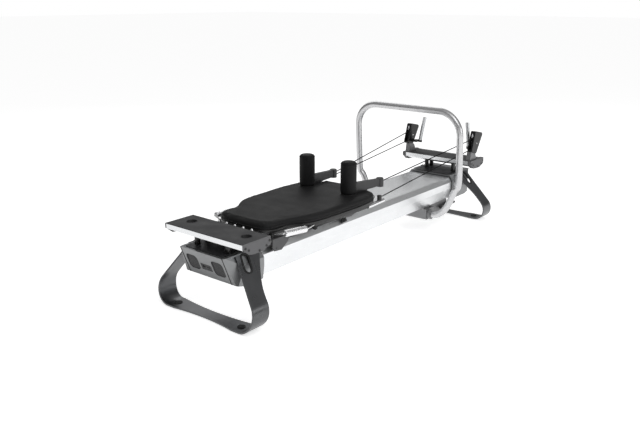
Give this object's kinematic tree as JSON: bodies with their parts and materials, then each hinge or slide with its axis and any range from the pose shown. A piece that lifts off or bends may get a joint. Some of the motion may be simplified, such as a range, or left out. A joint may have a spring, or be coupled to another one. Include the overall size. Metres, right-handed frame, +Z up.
{
  "type": "pilates reformer",
  "caption": "Low reformer exerciser: padded carriage with shoulder rests rolling on a wide rail against springs and ropes, with end platforms, pulleys and a tilting hoop bar.",
  "frame": {"origin": "centre of the machine's footprint at floor level", "axes": "X across the machine, Y along the rail from the front platform (-Y) to the pulleys (+Y), Z up"},
  "size_m": [0.81, 2.4288, 0.8477],
  "materials": {
    "rail": "satin anodised",
    "front_housing": "satin powder coat on a casting",
    "rear_housing": "satin powder coat on a casting",
    "gaskets": "matte",
    "housing_lids": "fine texture",
    "grilles": "mesh",
    "socket_panels": "moulded",
    "front_leg": "fine powder coat",
    "rear_leg": "fine powder coat",
    "slot_rings": "matte",
    "floor_pads": "matte",
    "leg_screws": "blackened",
    "front_deck": "brushed",
    "rear_deck": "brushed",
    "deck_mats": "non-slip grain",
    "end_caps": "fine grain",
    "cap_screws": "blackened",
    "deck_posts": "gloss black",
    "pulley_hoods": "moulded",
    "pulley_pins": "turned",
    "pulley_stems": "satin",
    "rope_posts": "brushed",
    "post_clips": "moulded",
    "spring_bar": "satin",
    "spring_hooks": "polished",
    "springs": "drawn wire",
    "ropes": "braided",
    "footbar_bracket": "satin coat on a casting",
    "sector_plates": "satin",
    "sector_rims": "matte",
    "sector_bolts": "blackened",
    "carriage_board": "black-painted board",
    "carriage_cushion": "fine-grain upholstery",
    "carriage_frame": "satin black coat",
    "carriage_skirts": "moulded",
    "truck_brackets": "satin",
    "truck_axles": "turned",
    "bracket_screws": "blackened",
    "bump_stops": "matte",
    "rest_bases": "moulded",
    "left_rest": "fine-grain upholstery",
    "right_rest": "fine-grain upholstery",
    "rest_arms": "moulded",
    "rest_knobs": "moulded",
    "grip_rods": "polished",
    "grip_sleeves": "polished",
    "corner_tubes": "polished",
    "rope_anchors": "moulded",
    "footbar_loop": "satin polished",
    "release_lever": "moulded",
    "left_pulley": "turned nylon",
    "right_pulley": "turned nylon",
    "wheel_near_left": "soft tread",
    "roller_near_left": "soft tread",
    "wheel_near_right": "soft tread",
    "roller_near_right": "soft tread",
    "wheel_far_left": "soft tread",
    "roller_far_left": "soft tread",
    "wheel_far_right": "soft tread",
    "roller_far_right": "soft tread"
  },
  "bodies": {
    "base": {"rail": "rail", "front_housing": "front_housing", "rear_housing": "rear_housing", "gaskets": "gaskets", "housing_lids": "housing_lids", "grilles": "grilles", "socket_panels": "socket_panels", "front_leg": "front_leg", "rear_leg": "rear_leg", "slot_rings": "slot_rings", "floor_pads": "floor_pads", "leg_screws": "leg_screws", "front_deck": "front_deck", "rear_deck": "rear_deck", "deck_mats": "deck_mats", "end_caps": "end_caps", "cap_screws": "cap_screws", "deck_posts": "deck_posts", "pulley_hoods": "pulley_hoods", "pulley_pins": "pulley_pins", "pulley_stems": "pulley_stems", "rope_posts": "rope_posts", "post_clips": "post_clips", "spring_bar": "spring_bar", "spring_hooks": "spring_hooks", "springs": "springs", "ropes": "ropes", "footbar_bracket": "footbar_bracket", "sector_plates": "sector_plates", "sector_rims": "sector_rims", "sector_bolts": "sector_bolts"},
    "carriage": {"carriage_board": "carriage_board", "carriage_cushion": "carriage_cushion", "carriage_frame": "carriage_frame", "carriage_skirts": "carriage_skirts", "truck_brackets": "truck_brackets", "truck_axles": "truck_axles", "bracket_screws": "bracket_screws", "bump_stops": "bump_stops", "rest_bases": "rest_bases", "left_rest": "left_rest", "right_rest": "right_rest", "rest_arms": "rest_arms", "rest_knobs": "rest_knobs", "grip_rods": "grip_rods", "grip_sleeves": "grip_sleeves", "corner_tubes": "corner_tubes", "rope_anchors": "rope_anchors"},
    "foot_bar": {"footbar_loop": "footbar_loop"},
    "lever": {"release_lever": "release_lever"},
    "pulley_left": {"left_pulley": "left_pulley"},
    "pulley_right": {"right_pulley": "right_pulley"},
    "wheel_near_left_body": {"wheel_near_left": "wheel_near_left"},
    "roller_near_left_body": {"roller_near_left": "roller_near_left"},
    "wheel_near_right_body": {"wheel_near_right": "wheel_near_right"},
    "roller_near_right_body": {"roller_near_right": "roller_near_right"},
    "wheel_far_left_body": {"wheel_far_left": "wheel_far_left"},
    "roller_far_left_body": {"roller_far_left": "roller_far_left"},
    "wheel_far_right_body": {"wheel_far_right": "wheel_far_right"},
    "roller_far_right_body": {"roller_far_right": "roller_far_right"}
  },
  "joints": [
    {"name": "carriage_slide", "type": "slide", "parent": "base", "child": "carriage", "axis": [0, 1, 0], "range_m": [0, 0.9], "deforming": ["ropes", "springs"]},
    {"name": "foot_bar_tilt", "type": "hinge", "parent": "base", "child": "foot_bar", "pos_m": [0, 0.627, 0.14], "axis": [1, 0, 0], "range_deg": [-28, 28]},
    {"name": "lever_turn", "type": "hinge", "parent": "base", "child": "lever", "pos_m": [0.168, 0.79, 0.15], "axis": [1, 0, 0], "range_deg": [-18, 0]},
    {"name": "pulley_left_spin", "type": "hinge", "parent": "base", "child": "pulley_left", "pos_m": [-0.252, 1.052, 0.557], "axis": [1, 0, 0], "continuous": true},
    {"name": "pulley_right_spin", "type": "hinge", "parent": "base", "child": "pulley_right", "pos_m": [0.252, 1.052, 0.557], "axis": [1, 0, 0], "continuous": true},
    {"name": "wheel_near_left_spin", "type": "hinge", "parent": "carriage", "child": "wheel_near_left_body", "pos_m": [-0.138, -0.826, 0.3462], "axis": [1, 0, 0], "continuous": true},
    {"name": "roller_near_left_spin", "type": "hinge", "parent": "carriage", "child": "roller_near_left_body", "pos_m": [-0.17238, -0.872, 0.32128], "axis": [0.548, 0, 0.8365], "continuous": true},
    {"name": "wheel_near_right_spin", "type": "hinge", "parent": "carriage", "child": "wheel_near_right_body", "pos_m": [0.138, -0.826, 0.3462], "axis": [1, 0, 0], "continuous": true},
    {"name": "roller_near_right_spin", "type": "hinge", "parent": "carriage", "child": "roller_near_right_body", "pos_m": [0.17238, -0.872, 0.32128], "axis": [0.548, 0, -0.8365], "continuous": true},
    {"name": "wheel_far_left_spin", "type": "hinge", "parent": "carriage", "child": "wheel_far_left_body", "pos_m": [-0.138, -0.25, 0.3462], "axis": [1, 0, 0], "continuous": true},
    {"name": "roller_far_left_spin", "type": "hinge", "parent": "carriage", "child": "roller_far_left_body", "pos_m": [-0.17238, -0.3, 0.32128], "axis": [0.548, 0, 0.8365], "continuous": true},
    {"name": "wheel_far_right_spin", "type": "hinge", "parent": "carriage", "child": "wheel_far_right_body", "pos_m": [0.138, -0.25, 0.3462], "axis": [1, 0, 0], "continuous": true},
    {"name": "roller_far_right_spin", "type": "hinge", "parent": "carriage", "child": "roller_far_right_body", "pos_m": [0.17238, -0.3, 0.32128], "axis": [0.548, 0, -0.8365], "continuous": true}
  ],
  "couplings": [
    {"joint": "wheel_near_left_spin", "follows": "carriage_slide", "rad_per_m": -55.556},
    {"joint": "roller_near_left_spin", "follows": "carriage_slide", "rad_per_m": -71.429},
    {"joint": "wheel_near_right_spin", "follows": "carriage_slide", "rad_per_m": -55.556},
    {"joint": "roller_near_right_spin", "follows": "carriage_slide", "rad_per_m": -71.429},
    {"joint": "wheel_far_left_spin", "follows": "carriage_slide", "rad_per_m": -55.556},
    {"joint": "roller_far_left_spin", "follows": "carriage_slide", "rad_per_m": -71.429},
    {"joint": "wheel_far_right_spin", "follows": "carriage_slide", "rad_per_m": -55.556},
    {"joint": "roller_far_right_spin", "follows": "carriage_slide", "rad_per_m": -71.429}
  ]
}
